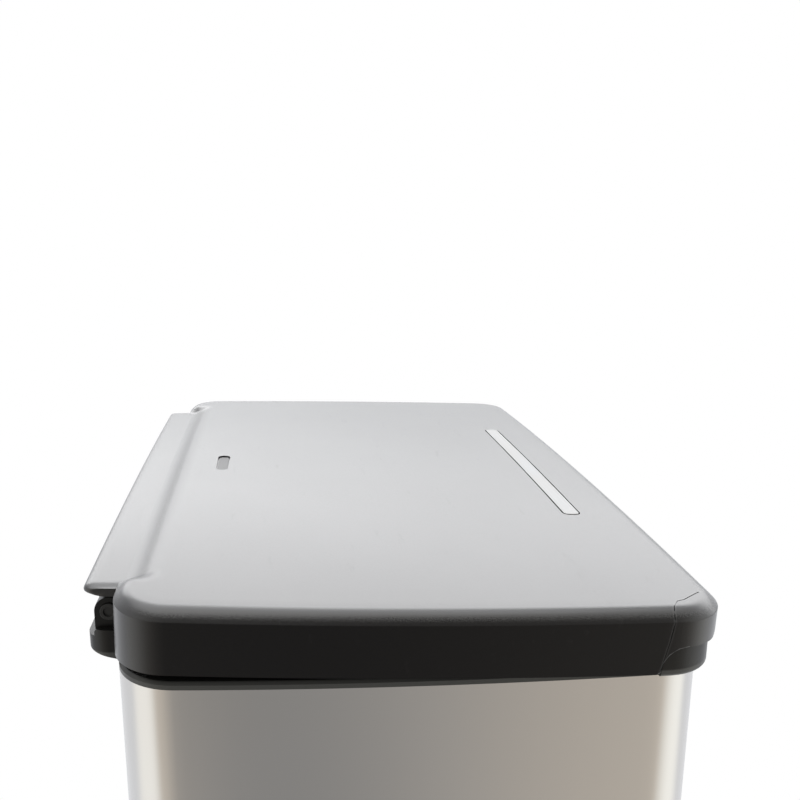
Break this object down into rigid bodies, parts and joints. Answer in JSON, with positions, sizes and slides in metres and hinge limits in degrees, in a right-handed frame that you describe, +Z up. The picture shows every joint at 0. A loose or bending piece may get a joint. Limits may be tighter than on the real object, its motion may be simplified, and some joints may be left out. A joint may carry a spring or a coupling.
{
  "type": "pedal bin",
  "caption": "Rectangular brushed steel pedal bin with a black hinged lid over two inner buckets, opened by a front pedal through an inner push rod.",
  "frame": {"origin": "on the floor, below the middle of the steel shell", "axes": "+Z up, +X along the long side, -Y towards the pedal at the front, +Y towards the lid hinge at the rear"},
  "size_m": [0.496, 0.3608, 0.6591],
  "materials": {
    "brushed_shell": "vertical fine brushing, satin",
    "black_lid": "fine grained, satin black",
    "black_trim": "satin black",
    "silver_trim": "fine satin",
    "grey_bucket": "satin dark grey",
    "zinc_steel": "zinc plated",
    "pedal_steel": "satin",
    "black_rubber": "matte",
    "white_guide": "self-lubricating plastic",
    "screw_steel": "plated"
  },
  "bodies": {
    "root": {"steel_shell": "brushed_shell", "base_pan": "black_trim", "rubber_feet": "black_rubber", "bucket_floor": "black_trim", "rim_collar": "black_trim", "damper_cylinder": "black_trim", "damper_clamp": "white_guide", "guide_channel": "zinc_steel", "channel_screws": "screw_steel", "lower_bush": "white_guide", "upper_bush": "white_guide", "pivot_bracket": "zinc_steel", "bracket_screws": "screw_steel", "pivot_pin": "zinc_steel"},
    "lid": {"lid_shell": "black_lid", "accent_strip": "silver_trim", "blank_inlay": "black_trim", "lid_liner": "black_trim", "liner_screws": "screw_steel", "lid_bumpers": "black_rubber", "hinge_rod": "zinc_steel", "crank_arm": "zinc_steel", "crank_screws": "screw_steel"},
    "push_rod": {"push_rod": "zinc_steel", "crank_pin": "zinc_steel", "lever_pin": "zinc_steel", "damper_piston": "zinc_steel"},
    "pedal": {"pedal_lever": "zinc_steel", "pedal_pad": "pedal_steel", "pedal_tread": "black_rubber", "pedal_screws": "screw_steel"},
    "bucket_left": {"bucket_left": "grey_bucket"},
    "bucket_right": {"bucket_right": "grey_bucket"}
  },
  "joints": [
    {"name": "lid_hinge", "type": "hinge", "parent": "root", "child": "lid", "pos_m": [0, 0.15189, 0.63688], "axis": [-1, 0, 0], "range_deg": [0, 80]},
    {"name": "rod_slide", "type": "slide", "parent": "root", "child": "push_rod", "axis": [0, 0, 1], "range_m": [0, 0.03693]},
    {"name": "pedal_hinge", "type": "hinge", "parent": "root", "child": "pedal", "pos_m": [0, -0.052, 0.034], "axis": [1, 0, 0], "range_deg": [0, 11.64]},
    {"name": "bucket_left_lift", "type": "slide", "parent": "root", "child": "bucket_left", "axis": [0, 0, 1], "range_m": [0, 0.008]},
    {"name": "bucket_right_lift", "type": "slide", "parent": "root", "child": "bucket_right", "axis": [0, 0, 1], "range_m": [0, 0.008]}
  ],
  "couplings": [
    {"joint": "rod_slide", "follows": "lid_hinge", "m_per_rad": 0.026442},
    {"joint": "pedal_hinge", "follows": "lid_hinge", "ratio": 0.14538}
  ]
}
